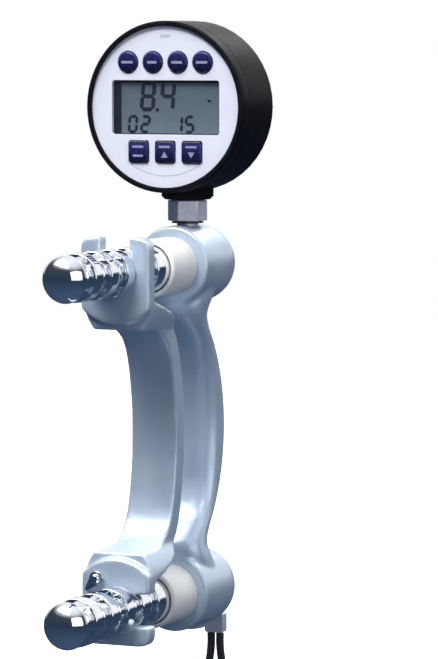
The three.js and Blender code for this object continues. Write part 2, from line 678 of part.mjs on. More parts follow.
function squareKey(i) {
  const [capFront, flangeFront, flangeBack] = keyDepths();
  const cap = plateXZ(squareKeyOutline(0), capFront, flangeFront, 4);
  const flange = plateXZ(squareKeyOutline(KEY.clearance + KEY.flange), flangeFront, flangeBack, 4);
  const body = keySolid(cap, flange).translate([squareKeyX(i), 0, 0]);
  return piece(`square_key_${i + 1}`, body, KEY_PLASTIC());
}

function keypadMat() {
  const front = keyDepths()[2] + KEY.travel + GAP;
  let body = solid(rodY(MAT_R, front, BOARD.front - GAP, SIDES.large).translate(0, 0, GAUGE_Z));
  const halfWidth = DISPLAY.halfWidth + 0.7;
  const halfHeight = DISPLAY.halfHeight + 0.7;
  const low = [-halfWidth, front - 1, WINDOW.z - halfHeight];
  const hole = box(low, [halfWidth, BOARD.front, WINDOW.z + halfHeight]);
  body = body.subtract(solid(hole));
  return piece('keypad_mat', body, RUBBER());
}

function circuitBoard() {
  const board = rodY(BOARD.radius, BOARD.front, BOARD.front + BOARD.thickness, SIDES.large);
  return piece('circuit_board', solid(board.translate(0, 0, GAUGE_Z)), finish(0x1e5a34, 0.5, 0));
}

function batteryTray() {
  const front = BOARD.front + BOARD.thickness + GAP;
  let body = solid(box([-TRAY.halfWidth, front, TRAY.bottom], [TRAY.halfWidth, CELL.y - 1, TRAY.top]));
  body = body.intersect(solid(rodY(TRAY.radius, front - 1, CELL.y, SIDES.large).translate(0, 0, GAUGE_Z)));
  for (const z of CELL.z) {
    const half = CELL.length / 2 + GAP;
    body = body.subtract(solid(rodX(CELL.radius + GAP, -half, half).translate(0, CELL.y, z)));
  }
  return piece('battery_tray', body, BLACK_PLASTIC());
}

function batteryCell(i) {
  const half = CELL.length / 2;
  const direction = i === 0 ? 1 : -1;
  const profile = [
    [0, -half], [CELL.radius, -half], [CELL.radius, half - 1], [1.9, half - 1], [1.9, half], [0, half],
  ];
  const cell = turned(profile, SIDES.small).rotateZ(-direction * Math.PI / 2);
  return piece(`battery_cell_${i + 1}`, solid(cell.translate(0, CELL.y, CELL.z[i])), finish(0x3a6ea8, 0.4, 0.4));
}

function pressureSensor() {
  const profile = [
    [0, SENSOR.bottom], [SENSOR.radius, SENSOR.bottom], [SENSOR.radius, SENSOR.top - SENSOR.tail],
    [SENSOR.tailR, SENSOR.top - SENSOR.tail], [SENSOR.tailR, SENSOR.top], [0, SENSOR.top],
  ];
  return piece('pressure_sensor', solid(turned(profile, SIDES.small).rotateX(Math.PI / 2)), STEEL());
}

function rearCover() {
  const front = CASE.back - COVER.thickness;
  let body = solid(rodY(COVER.radius, front, CASE.back, SIDES.gauge).translate(0, 0, GAUGE_Z));
  for (const [x, z] of screwPlaces()) {
    const shankR = COVER_SCREW.radius + GAP;
    const headR = COVER_SCREW.headR + GAP;
    const seat = front + COVER.seat;
    const hole = turned([
      [0, front - 1], [shankR, front - 1], [shankR, seat],
      [headR, seat], [headR, CASE.back + 1], [0, CASE.back + 1],
    ], SIDES.tiny);
    body = body.subtract(solid(hole.translate(x, 0, GAUGE_Z + z)));
  }
  return piece('rear_cover', body, BLACK_PLASTIC());
}

function rearScrew(i) {
  const [x, z] = screwPlaces()[i];
  const { radius, headR, headHeight, slotHalf, slotDepth } = COVER_SCREW;
  const seat = CASE.back - COVER.thickness + COVER.seat + GAP;
  const shank = CASE.back - COVER.thickness - COVER_SCREW.length;
  const top = seat + headHeight;
  const profile = [
    [0, shank], [radius, shank], [radius, seat], [headR, seat], [headR, top - 0.3], [headR - 0.4, top], [0, top],
  ];
  let body = solid(turned(profile, SIDES.tiny));
  for (const turn of [0, Math.PI / 2]) {
    const cut = box([-1.5, top - slotDepth, -slotHalf], [1.5, top + 1, slotHalf]).rotateY(turn);
    body = body.subtract(solid(cut));
  }
  return piece(`rear_screw_${i + 1}`, body.translate([x, 0, GAUGE_Z + z]), STEEL());
}

// ---------------------------------------------------------------- screws on the housings, and the strap

// A threaded shank that closes the back of a bore, as far as the face of the housing.
function shankProfile(face) {
  return [[0, BORE_END + 1], [REAR_SCREW_R, BORE_END + 1], [REAR_SCREW_R, face]];
}

function bleedScrew() {
  const face = HOUSING_BACK + GAP;
  const { headR, headHeight, edge, socketR } = BLEED_SCREW;
  const top = face + headHeight;
  const profile = [...shankProfile(face), [headR, face], [headR, top - edge], [headR - edge, top], [0, top]];
  const socket = new THREE.CylinderGeometry(socketR, socketR, 3, 6).translate(0, top + 0.2, 0);
  const body = solid(turned(profile, SIDES.small)).subtract(solid(socket));
  return piece('bleed_screw', body.translate([0, 0, POST_Z]), STEEL());
}

function strapEye() {
  const face = HOUSING_BACK + GAP;
  const { footR, footHeight } = EYE;
  const top = face + footHeight;
  const profile = [...shankProfile(face), [footR, face], [footR, top - 0.7], [1.5, top], [0, top]];
  let body = solid(turned(profile, SIDES.small));
  body = body.add(solid(torus(EYE.ringR, EYE.wireR).rotateY(Math.PI / 2).translate(0, EYE.y, 0)));
  return piece('strap_eye', body.translate([0, 0, -POST_Z]), STEEL());
}

function linkCentre() {
  const holeBottom = -POST_Z - (EYE.ringR - EYE.wireR);
  return holeBottom + GAP + LINK.wireR - LINK.ringR;
}

function strapLink() {
  const ring = torus(LINK.ringR, LINK.wireR).rotateX(Math.PI / 2).translate(0, EYE.y, linkCentre());
  return piece('strap_link', solid(ring), STEEL());
}

function strapCrimp() {
  const { halfWidth, halfDepth, top, bottom } = CRIMP;
  const block = plateXZ(roundedRectangle(halfWidth, bottom, top, 1), -halfDepth, halfDepth, 4);
  const tab = box([-CRIMP.tabHalf, -halfDepth, top - 1], [CRIMP.tabHalf, halfDepth, CRIMP.tabTop]);
  const holeZ = linkCentre() - LINK.ringR - (CRIMP.holeR - LINK.wireR - GAP);
  const hole = rodX(CRIMP.holeR, -3, 3, SIDES.tiny).translate(0, 0, holeZ);
  const body = solid(block).add(solid(tab)).subtract(solid(hole));
  return piece('strap_crimp', body.translate([0, EYE.y, 0]), STEEL());
}

function wristStrap() {
  const down = STRAP_ROUTE.map(([x, z]) => new THREE.Vector3(x, EYE.y, z));
  const up = STRAP_ROUTE.slice(0, -1).reverse().map(([x, z]) => new THREE.Vector3(-x, EYE.y, z));
  const route = new THREE.CatmullRomCurve3([...down, ...up]);
  return piece('wrist_strap', solid(tube(route, STRAP_DIAMETER / 2, 8, 40)), CORD());
}

// ---------------------------------------------------------------- assembly

function bushes() {
  const group = new THREE.Group();
  for (const [name, z] of [['upper_bush', POST_Z], ['lower_bush', -POST_Z]]) {
    const guide = bush(name);
    guide.position.z = z;
    group.add(guide);
  }
  return group;
}

function gauge() {
  const group = new THREE.Group();
  group.add(gaugeStem(), stemWasher(), gaugeCase(), gaugeBezel(), facePlate());
  group.add(displayWindow(), displayModule(), keypadMat(), circuitBoard());
  group.add(batteryTray(), pressureSensor(), rearCover());
  for (let i = 0; i < CELL.z.length; i += 1) group.add(batteryCell(i));
  for (let i = 0; i < COVER.count; i += 1) group.add(rearScrew(i));
  for (let i = 0; i < ROUND_KEY.count; i += 1) group.add(roundKey(i));
  for (let i = 0; i < SQUARE_KEY.count; i += 1) group.add(squareKey(i));
  return group;
}

const instrument = new THREE.Group();
instrument.add(bodyCasting(), bushes(), postGroup('upper', POST_Z), postGroup('lower', -POST_Z));
instrument.add(adjustableHandle(), handleClip(), clipPin(), gauge(), bleedScrew());
instrument.add(strapEye(), strapLink(), strapCrimp(), wristStrap());
instrument.position.y = STEM_Y;

const dynamometer = new THREE.Group();
dynamometer.add(instrument);

export default dynamometer;
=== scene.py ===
# Hydraulic hand dynamometer with a digital gauge: the looks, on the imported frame.
# Metres, in the frame's own axes: X across the handles, -Y out of the gauge's face, Z up.

import json
import math

import bmesh
import bpy
from mathutils import Matrix, Vector


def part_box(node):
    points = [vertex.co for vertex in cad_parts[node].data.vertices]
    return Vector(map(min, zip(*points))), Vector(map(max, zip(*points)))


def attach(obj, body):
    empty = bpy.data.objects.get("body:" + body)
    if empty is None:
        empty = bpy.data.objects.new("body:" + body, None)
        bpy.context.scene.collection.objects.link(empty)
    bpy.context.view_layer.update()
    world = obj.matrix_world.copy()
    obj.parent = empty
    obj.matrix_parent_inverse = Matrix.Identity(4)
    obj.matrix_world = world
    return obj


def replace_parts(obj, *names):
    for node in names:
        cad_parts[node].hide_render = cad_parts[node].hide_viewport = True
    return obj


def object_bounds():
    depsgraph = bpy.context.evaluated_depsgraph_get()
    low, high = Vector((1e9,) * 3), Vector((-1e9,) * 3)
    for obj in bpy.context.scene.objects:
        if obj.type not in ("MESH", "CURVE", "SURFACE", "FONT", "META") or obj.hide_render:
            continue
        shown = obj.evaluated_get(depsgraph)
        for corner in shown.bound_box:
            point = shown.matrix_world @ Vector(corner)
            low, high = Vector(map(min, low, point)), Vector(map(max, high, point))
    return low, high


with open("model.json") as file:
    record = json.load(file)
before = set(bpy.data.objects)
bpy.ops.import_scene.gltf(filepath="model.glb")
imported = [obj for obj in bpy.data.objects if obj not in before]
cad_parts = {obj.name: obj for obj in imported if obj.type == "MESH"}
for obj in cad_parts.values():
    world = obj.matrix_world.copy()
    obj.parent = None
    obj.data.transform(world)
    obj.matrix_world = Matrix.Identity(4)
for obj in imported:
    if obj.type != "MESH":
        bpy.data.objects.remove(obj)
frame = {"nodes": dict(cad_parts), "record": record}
CAD_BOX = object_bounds()

MM = 0.001


# ---------------------------------------------------------------- places, from the frame

def middle(node):
    low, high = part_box(node)
    return (low + high) / 2


GAUGE = middle("gauge_bezel")
GAUGE_RADIUS = (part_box("gauge_bezel")[1].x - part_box("gauge_bezel")[0].x) / 2
GAUGE_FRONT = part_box("gauge_bezel")[0].y
PLATE_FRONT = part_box("face_plate")[0].y
DISPLAY_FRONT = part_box("display_module")[0].y
DISPLAY = middle("display_module")
DISPLAY_HEIGHT = 0.021
STEM_Y = middle("gauge_stem").y
POST_Z = middle("upper_post").z


# ---------------------------------------------------------------- camera and light

CAMERA_AZIMUTH = math.radians(24.2)
CAMERA_ELEVATION = math.radians(4.4)
CAMERA_DISTANCE = 1.383
CAMERA_AIM = Vector((0.0094, -0.0098, 0.0355))
CAMERA_LENS = 205.1
CAMERA_SENSOR = 36

LIGHT_TARGET = Vector((0, -0.03, 0.03))
# Azimuth and elevation in degrees, distance, width, height, power and colour.
LIGHTS = {
    "key": (-40, 60, 1.0, 0.7, 0.5, 7, (1, 1, 1)),
    "side": (56, 17, 1.2, 1.3, 0.75, 5, (0.94, 0.96, 1)),
    "back": (165, 45, 1.1, 0.6, 0.4, 4, (1, 1, 1)),
    "front": (-2, 52, 1.4, 0.5, 0.3, 10, (1, 1, 1)),
}
# The world's colour by height, from straight down at 0 to straight up at 1.
WORLD_STOPS = [
    (0.0, (0.05, 0.09, 0.16)), (0.5, (0.025, 0.045, 0.08)), (0.78, (0.05, 0.06, 0.08)),
    (0.9, (0.74, 0.78, 0.84)), (1.0, (1.02, 1.06, 1.14)),
]
# The world turns white behind the object: where that fades in, along a direction's Y and Z.
BEHIND_FADE = {"Y": (0.3, 0.6), "Z": (0.03, 0.1)}
WHITE = (1, 1, 1)
BLACK = (0, 0, 0)
FLOOR_COLOR = (0.9, 0.9, 0.92)
FLOOR_GLOW = 0.8
FLOOR_HALF = 3
FLOOR_DROP = 0.03                  # below the object
BACKDROP_RADIUS = 4

# Sockets of a colour Mix node.
MIX_FACTOR, MIX_A, MIX_B, MIX_RESULT = 0, 6, 7, 2


def direction(azimuth, elevation):
    """From the object towards a point seen at that azimuth and elevation."""
    flat = math.cos(elevation)
    return Vector((math.sin(azimuth) * flat, -math.cos(azimuth) * flat, math.sin(elevation)))


def aim(obj, target):
    obj.rotation_mode = "QUATERNION"
    obj.rotation_quaternion = (target - obj.location).to_track_quat("-Z", "Y")


def make_camera():
    bpy.context.scene.view_settings.view_transform = "Standard"
    data = bpy.data.cameras.new("camera")
    data.lens = CAMERA_LENS
    data.sensor_width = CAMERA_SENSOR
    data.clip_start = 0.05
    data.clip_end = 20
    camera = bpy.data.objects.new("camera", data)
    bpy.context.scene.collection.objects.link(camera)
    camera.location = CAMERA_AIM + direction(CAMERA_AZIMUTH, CAMERA_ELEVATION) * CAMERA_DISTANCE
    aim(camera, CAMERA_AIM)
    bpy.context.scene.camera = camera


def area_light(name, azimuth, elevation, distance, width, height, power, color):
    data = bpy.data.lights.new(name, "AREA")
    data.shape = "RECTANGLE"
    data.size = width
    data.size_y = height
    data.energy = power
    data.color = color
    light = bpy.data.objects.new(name, data)
    bpy.context.scene.collection.objects.link(light)
    light.location = direction(math.radians(azimuth), math.radians(elevation)) * distance
    aim(light, LIGHT_TARGET)


def fill_ramp(color_ramp, stops):
    """Sets a ramp to (position, colour or grey) stops."""
    while len(color_ramp.elements) < len(stops):
        color_ramp.elements.new(0.5)
    for element, (position, value) in zip(color_ramp.elements, stops):
        element.position = position
        grey = isinstance(value, (int, float))
        element.color = (value, value, value, 1) if grey else (*value, 1)


def make_world():
    """A studio that is bright overhead and behind, and dark elsewhere, for the reflections."""
    world = bpy.data.worlds.new("studio")
    world.use_nodes = True
    tree = world.node_tree
    split = tree.nodes.new("ShaderNodeSeparateXYZ")
    tree.links.new(tree.nodes.new("ShaderNodeTexCoord").outputs["Generated"], split.inputs[0])
    height = tree.nodes.new("ShaderNodeMapRange")
    height.inputs["From Min"].default_value = -1
    tree.links.new(split.outputs["Z"], height.inputs["Value"])
    ramp = tree.nodes.new("ShaderNodeValToRGB")
    fill_ramp(ramp.color_ramp, WORLD_STOPS)
    tree.links.new(height.outputs["Result"], ramp.inputs["Fac"])
    behind = tree.nodes.new("ShaderNodeMath")
    behind.operation = "MULTIPLY"
    for k, (axis, (start, end)) in enumerate(BEHIND_FADE.items()):
        part = tree.nodes.new("ShaderNodeMapRange")
        part.inputs["From Min"].default_value = start
        part.inputs["From Max"].default_value = end
        tree.links.new(split.outputs[axis], part.inputs["Value"])
        tree.links.new(part.outputs["Result"], behind.inputs[k])
    mix = tree.nodes.new("ShaderNodeMix")
    mix.data_type = "RGBA"
    tree.links.new(behind.outputs[0], mix.inputs[MIX_FACTOR])
    tree.links.new(ramp.outputs["Color"], mix.inputs[MIX_A])
    mix.inputs[MIX_B].default_value = (*WHITE, 1)
    tree.links.new(mix.outputs[MIX_RESULT], tree.nodes["Background"].inputs["Color"])
    bpy.context.scene.world = world


def staged(name, mesh, color, glow):
    """A white part of the studio that is seen, but neither lights the object nor shows in it."""
    shader = bpy.data.materials.new(name)
    shader.use_nodes = True
    principled = shader.node_tree.nodes["Principled BSDF"]
    principled.inputs["Base Color"].default_value = (*color, 1)
    principled.inputs["Roughness"].default_value = 1
    principled.inputs["Specular IOR Level"].default_value = 0
    principled.inputs["Emission Color"].default_value = (*WHITE, 1)
    principled.inputs["Emission Strength"].default_value = glow
    mesh.materials.append(shader)
    made = bpy.data.objects.new(name, mesh)
    bpy.context.scene.collection.objects.link(made)
    made.visible_glossy = False
    made.visible_diffuse = False
    made.visible_transmission = False
    return made


def make_studio():
    make_world()
    floor = bpy.data.meshes.new("floor")
    corners = [(x * FLOOR_HALF, y * FLOOR_HALF, 0) for x, y in ((-1, -1), (1, -1), (1, 1), (-1, 1))]
    floor.from_pydata(corners, [], [(0, 1, 2, 3)])
    staged("floor", floor, FLOOR_COLOR, FLOOR_GLOW).location.z = CAD_BOX[0].z - FLOOR_DROP
    form = bmesh.new()
    bmesh.ops.create_uvsphere(form, u_segments=48, v_segments=24, radius=BACKDROP_RADIUS)
    wall = bpy.data.meshes.new("backdrop")
    form.to_mesh(wall)
    form.free()
    staged("backdrop", wall, BLACK, 1).visible_shadow = False
    for name, settings in LIGHTS.items():
        area_light(name, *settings)


# ---------------------------------------------------------------- materials

class Shader:
    """A principled material, and short ways to add noise, bump and mixes to it."""

    def __init__(self, name, roughness=0.5, metallic=0.0):
        self.material = bpy.data.materials.new(name)
        self.material.use_nodes = True
        self.tree = self.material.node_tree
        self.principled = self.tree.nodes["Principled BSDF"]
        self.set("Roughness", roughness)
        self.set("Metallic", metallic)
        self.place = self.node("ShaderNodeTexCoord").outputs["Object"]

    def node(self, kind, **settings):
        made = self.tree.nodes.new(kind)
        for key, value in settings.items():
            setattr(made, key, value)
        return made

    def link(self, output, node_input):
        self.tree.links.new(output, node_input)

    def set(self, name, value):
        self.principled.inputs[name].default_value = value

    def noise(self, scale, detail=3, stretch=(1, 1, 1)):
        mapping = self.node("ShaderNodeMapping")
        mapping.inputs["Scale"].default_value = stretch
        self.link(self.place, mapping.inputs["Vector"])
        texture = self.node("ShaderNodeTexNoise")
        texture.inputs["Scale"].default_value = scale
        texture.inputs["Detail"].default_value = detail
        self.link(mapping.outputs["Vector"], texture.inputs["Vector"])
        return texture.outputs["Fac"]

    def ramp(self, factor, stops):
        """Maps a factor through (position, colour or grey) stops."""
        made = self.node("ShaderNodeValToRGB")
        fill_ramp(made.color_ramp, stops)
        self.link(factor, made.inputs["Fac"])
        return made.outputs["Color"]

    def mix(self, factor, first, second, mode="MIX"):
        made = self.node("ShaderNodeMix", data_type="RGBA", blend_type=mode)
        for socket, value in ((MIX_FACTOR, factor), (MIX_A, first), (MIX_B, second)):
            if isinstance(value, (int, float)):
                made.inputs[socket].default_value = value
            elif isinstance(value, tuple):
                made.inputs[socket].default_value = (*value, 1)
            else:
                self.link(value, made.inputs[socket])
        return made.outputs[MIX_RESULT]

    def math(self, operation, first, second=0.0):
        made = self.node("ShaderNodeMath", operation=operation)
        for socket, value in ((0, first), (1, second)):
            if isinstance(value, (int, float)):
                made.inputs[socket].default_value = value
            else:
                self.link(value, made.inputs[socket])
        return made.outputs[0]

    def axis(self, name):
        split = self.node("ShaderNodeSeparateXYZ")
        self.link(self.place, split.inputs[0])
        return split.outputs[name]

    def vary(self, factor, low, high, spread=(0.3, 0.7)):
        """Between two colours or greys, as the factor goes across its spread."""
        return self.ramp(factor, [(spread[0], low), (spread[1], high)])

    def color(self, output):
        self.link(output, self.principled.inputs["Base Color"])

    def rough(self, output):
        self.link(output, self.principled.inputs["Roughness"])

    def bump(self, height, strength, distance):
        made = self.node("ShaderNodeBump")
        made.inputs["Strength"].default_value = strength
        made.inputs["Distance"].default_value = distance
        self.link(height, made.inputs["Height"])
        self.link(made.outputs["Normal"], self.principled.inputs["Normal"])

    def edges(self):
        """1 on worn convex edges, 0 elsewhere."""
        geometry = self.node("ShaderNodeNewGeometry")
        return self.ramp(geometry.outputs["Pointiness"], [(0.5, 0.0), (0.56, 1.0)])


def paint_material():
    shader = Shader("satin_paint", 0.34, 0.4)
    flakes = shader.noise(5200, 2)
    cloud = shader.noise(60, 4)
    base = shader.vary(cloud, (0.50, 0.62, 0.77), (0.58, 0.69, 0.82))
    tone = shader.mix(0.35, base, shader.ramp(flakes, [(0.35, 0.42), (0.65, 0.72)]), "OVERLAY")
    worn = shader.math("MULTIPLY", shader.edges(), shader.noise(700, 4))
    shader.color(shader.mix(worn, tone, (0.72, 0.76, 0.8)))
    shader.rough(shader.vary(shader.noise(240, 5), 0.3, 0.44))
    shader.set("Coat Weight", 0.35)
    shader.set("Coat Roughness", 0.22)
    shader.bump(shader.mix(0.35, shader.noise(900, 2), shader.noise(4000, 2)), 0.16, 0.0002)
    return shader.material


def chrome_material():
    shader = Shader("bright_chrome", 0.05, 1)
    shader.color(shader.vary(shader.noise(180, 3), (0.82, 0.84, 0.88), (0.93, 0.94, 0.96)))
    turning = shader.noise(90, 3, stretch=(1, 42, 1))
    shader.rough(shader.ramp(turning, [(0.3, 0.035), (0.75, 0.1)]))
    shader.bump(turning, 0.05, 0.0001)
    return shader.material


def steel_material():
    shader = Shader("nickel_steel", 0.4, 0.5)
    shader.color(shader.vary(shader.noise(500, 3), (0.74, 0.72, 0.82), (0.84, 0.82, 0.9)))
    brushed = shader.noise(260, 4, stretch=(1, 1, 14))
    shader.rough(shader.vary(brushed, 0.34, 0.46))
    shader.bump(brushed, 0.04, 0.00005)
    return shader.material


def nylon_material():
    shader = Shader("ivory_nylon", 0.42)
    shader.color(shader.vary(shader.noise(130, 4), (0.90, 0.88, 0.84), (0.95, 0.93, 0.89)))
    shader.rough(shader.vary(shader.noise(900, 3), 0.36, 0.5))
    shader.set("Subsurface Weight", 0.12)
    shader.set("Subsurface Scale", 0.002)
    turned = shader.noise(120, 2, stretch=(1, 26, 1))
    shader.bump(turned, 0.08, 0.0001)
    return shader.material


def black_plastic_material():
    shader = Shader("satin_black_plastic", 0.34)
    shader.color(shader.vary(shader.noise(220, 4), (0.007, 0.007, 0.0095), (0.012, 0.012, 0.0155)))
    shader.rough(shader.vary(shader.noise(700, 4), 0.28, 0.4))
    shader.set("Specular IOR Level", 0.03)
    shader.bump(shader.noise(3600, 3), 0.22, 0.0001)
    return shader.material


def rubber_material():
    shader = Shader("black_rubber", 0.7)
    shader.color(shader.vary(shader.noise(400, 4), (0.02, 0.02, 0.02), (0.04, 0.04, 0.04)))
    shader.bump(shader.noise(2500, 3), 0.3, 0.0001)
    return shader.material


def face_material():
    shader = Shader("face_white", 0.4)
    shader.color(shader.vary(shader.noise(90, 4), (0.8, 0.82, 0.93), (0.84, 0.86, 0.96)))
    shader.rough(shader.vary(shader.noise(800, 3), 0.34, 0.46))
    shader.bump(shader.noise(5000, 2), 0.08, 0.0001)
    return shader.material


def display_material():
    shader = Shader("display_grey", 0.32)
    bottom = DISPLAY.z - DISPLAY_HEIGHT / 2
    rise = shader.math("SUBTRACT", shader.axis("Z"), bottom)
    height = shader.math("MULTIPLY", rise, 1 / DISPLAY_HEIGHT)
    # Painted shade: the display grows darker towards its top, under the window's upper edge.
    shade = shader.ramp(height, [
        (0.0, (0.15, 0.19, 0.225)), (0.55, (0.12, 0.155, 0.195)), (1.0, (0.1, 0.135, 0.17)),
    ])
    shader.color(shader.mix(0.12, shade, shader.vary(shader.noise(300, 4), 0.3, 0.7), "OVERLAY"))
    pixels = shader.node("ShaderNodeTexChecker")
    pixels.inputs["Scale"].default_value = 3300
    shader.link(shader.place, pixels.inputs["Vector"])
    shader.bump(pixels.outputs["Fac"], 0.03, 0.00005)
    return shader.material


def window_material():
    shader = Shader("clear_window", 0.04)
    shader.color(shader.vary(shader.noise(200, 3), (0.2, 0.22, 0.25), (0.26, 0.28, 0.3)))
    shader.rough(shader.ramp(shader.noise(600, 4), [(0.4, 0.02), (0.7, 0.08)]))
    shader.set("Alpha", 0.03)
    shader.set("IOR", 1.3)
    return shader.material


# Each row of keys lies within one band, which goes from black at its foot to navy at its top, as
# painted shade.
KEY_BANDS_PER_METRE = 120


def key_material():
    shader = Shader("navy_key", 0.26)
    above = shader.math("SUBTRACT", shader.axis("Z"), DISPLAY.z - DISPLAY_HEIGHT)
    rise = shader.math("FRACT", shader.math("MULTIPLY", above, KEY_BANDS_PER_METRE))
    # Painted shade: darkest at the foot of each key, navy at its top.
    shade = shader.ramp(rise, [
        (0.0, (0.003, 0.003, 0.012)), (0.45, (0.008, 0.01, 0.06)), (1.0, (0.03, 0.035, 0.16)),
    ])
    shader.color(shader.mix(0.2, shade, shader.vary(shader.noise(700, 3), 0.3, 0.6), "OVERLAY"))
    shader.rough(shader.vary(shader.noise(900, 3), 0.2, 0.34))
    return shader.material


def ink_and_shadow_material(name, color):
    shader = Shader(name, 0.6)
    shader.set("Specular IOR Level", 0.1)
    lighter = tuple(min(1.0, 1.15 * v + 0.004) for v in color)
    shader.color(shader.ramp(shader.noise(1500, 3), [(0.35, color), (0.65, lighter)]))
    return shader.material


def board_material():
    shader = Shader("board_green", 0.45)
    speckle = shader.noise(900, 2)
    shader.color(shader.vary(speckle, (0.01, 0.07, 0.03), (0.02, 0.13, 0.06), spread=(0.4, 0.6)))
    return shader.material


def cell_material():
    shader = Shader("cell_sleeve", 0.3, 0.2)
    shader.color(shader.ramp(shader.axis("X"), [(0.4, (0.04, 0.12, 0.3)), (0.6, (0.5, 0.5, 0.5))]))
    shader.bump(shader.noise(800, 2), 0.05, 0.0001)
    return shader.material


def cord_material():
    shader = Shader("braided_cord", 0.75)
    strands = []
    for slope in (1, -1):
        mapping = shader.node("ShaderNodeMapping")
        mapping.inputs["Rotation"].default_value = (0, slope * math.radians(38), 0)
        shader.link(shader.place, mapping.inputs["Vector"])
        wave = shader.node("ShaderNodeTexWave", bands_direction="Z")
        wave.inputs["Scale"].default_value = 260
        wave.inputs["Distortion"].default_value = 0.4
        shader.link(mapping.outputs["Vector"], wave.inputs["Vector"])
        strands.append(wave.outputs["Fac"])
    weave = shader.math("MAXIMUM", *strands)
    shader.color(shader.ramp(weave, [(0.2, (0.004, 0.004, 0.005)), (1.0, (0.03, 0.03, 0.034))]))
    shader.set("Sheen Weight", 0.3)
    shader.bump(weave, 0.6, 0.0003)
    return shader.material


MATERIALS = {
    "paint": paint_material(),
    "chrome": chrome_material(),
    "steel": steel_material(),
    "nylon": nylon_material(),
    "black_plastic": black_plastic_material(),
    "rubber": rubber_material(),
    "face_white": face_material(),
    "display": display_material(),
    "window": window_material(),
    "key": key_material(),
    "board": board_material(),
    "cell": cell_material(),
    "cord": cord_material(),
}
WHITE_INK = ink_and_shadow_material("white_ink", (0.28, 0.29, 0.42))
DARK_INK = ink_and_shadow_material("segment_ink", (0.008, 0.01, 0.035))
# A near-black for the painted shadow of the display's recess.
RECESS_SHADOW_INK = ink_and_shadow_material("recess_shadow_ink", (0.006, 0.007, 0.012))
GREY_INK = ink_and_shadow_material("grey_ink", (0.5, 0.52, 0.62))


# ---------------------------------------------------------------- pieces

def slot_of(node):
    return next(s["material_slot"] for s in frame["record"]["subparts"] if s["node"] == node)


def new_piece(name, mesh, slot, body="frame", material=None):
    made = bpy.data.objects.new(name, mesh)
    bpy.context.scene.collection.objects.link(made)
    made.data.materials.clear()
    made.data.materials.append(material or MATERIALS[slot])
    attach(made, body)
    return made


def body_with(node):
    return next(b for b, nodes in frame["record"]["behaviour"]["bodies"].items() if node in nodes)


def shade(mesh, angle):
    mesh.shade_smooth()
    mesh.set_sharp_from_angle(angle=math.radians(angle))


def lathe(name, profile, centre, segments=96, axis="Y", sharp=40):
    """A mesh turned about an axis through centre. The profile is (radius, place along the axis)."""
    form = bmesh.new()
    rings = []
    for radius, along in profile:
        if radius < 1e-7:
            rings.append([form.verts.new((0, along, 0))])
            continue
        ring = []
        for i in range(segments):
            angle = 2 * math.pi * i / segments
            ring.append(form.verts.new((radius * math.cos(angle), along, radius * math.sin(angle))))
        rings.append(ring)
    for first, second in zip(rings, rings[1:]):
        for i in range(segments):
            j = (i + 1) % segments
            a, b = len(first), len(second)
            corners = [first[i % a], first[j % a], second[j % b], second[i % b]]
            corners = list(dict.fromkeys(corners))
            if len(corners) > 2:
                form.faces.new(corners)
    bmesh.ops.remove_doubles(form, verts=form.verts, dist=1e-7)
    bmesh.ops.recalc_face_normals(form, faces=form.faces)
    turn = Matrix.Rotation(math.pi / 2, 4, "X") if axis == "Z" else Matrix.Identity(4)
    form.transform(Matrix.Translation(centre) @ turn)
    mesh = bpy.data.meshes.new(name)
    form.to_mesh(mesh)
    form.free()
    shade(mesh, sharp)
    return mesh


def rounded_profile(points, radii, steps=4):
    """The outline through the points, with each corner rounded by its radius."""
    rounded = []
    for i, (point, radius) in enumerate(zip(points, radii)):
        here = Vector(point)
        if radius == 0 or i in (0, len(points) - 1):
            rounded.append(tuple(here))
            continue
        back = (Vector(points[i - 1]) - here).normalized()
        ahead = (Vector(points[i + 1]) - here).normalized()
        start, end = here + back * radius, here + ahead * radius
        for k in range(steps + 1):
            t = k / steps
            rounded.append(tuple(start * (1 - t) ** 2 + here * 2 * t * (1 - t) + end * t ** 2))
    return rounded


def clean_copy(node):
    """The node's mesh with its split corners joined and its flat facets merged."""
    form = bmesh.new()
    form.from_mesh(frame["nodes"][node].data)
    bmesh.ops.remove_doubles(form, verts=form.verts, dist=1e-6)
    flat = math.radians(1)
    bmesh.ops.dissolve_limit(form, angle_limit=flat, verts=form.verts, edges=form.edges)
    bmesh.ops.recalc_face_normals(form, faces=form.faces)
    mesh = bpy.data.meshes.new(node + "_skin")
    form.to_mesh(mesh)
    form.free()
    return mesh


SHARP_ANGLE = 40
BEVEL_ANGLE = 42


def bevelled(node, width, material=None):
    """Stands for a CAD node, with its edges broken."""
    mesh = clean_copy(node)
    shade(mesh, SHARP_ANGLE)
    made = new_piece(node + "_skin", mesh, slot_of(node), body_with(node), material)
    bevel = made.modifiers.new("edges", "BEVEL")
    bevel.width = width
    bevel.segments = 2
    bevel.limit_method = "ANGLE"
    bevel.angle_limit = math.radians(BEVEL_ANGLE)
    bevel.harden_normals = False
    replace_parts(made, node)
    return made


def evaluated(made):
    """Applies the piece's modifiers to its mesh."""
    depsgraph = bpy.context.evaluated_depsgraph_get()
    mesh = bpy.data.meshes.new_from_object(made.evaluated_get(depsgraph))
    made.modifiers.clear()
    made.data = mesh
    return mesh


def remeshed(made, voxel, smoothing):
    """Fuses the piece's shells into one skin with soft edges."""
    remesh = made.modifiers.new("skin", "REMESH")
    remesh.mode = "VOXEL"
    remesh.voxel_size = voxel
    smooth = made.modifiers.new("soft", "SMOOTH")
    smooth.factor = 0.5
    smooth.iterations = smoothing
    mesh = evaluated(made)
    mesh.shade_smooth()
    return made


# ---------------------------------------------------------------- the casting

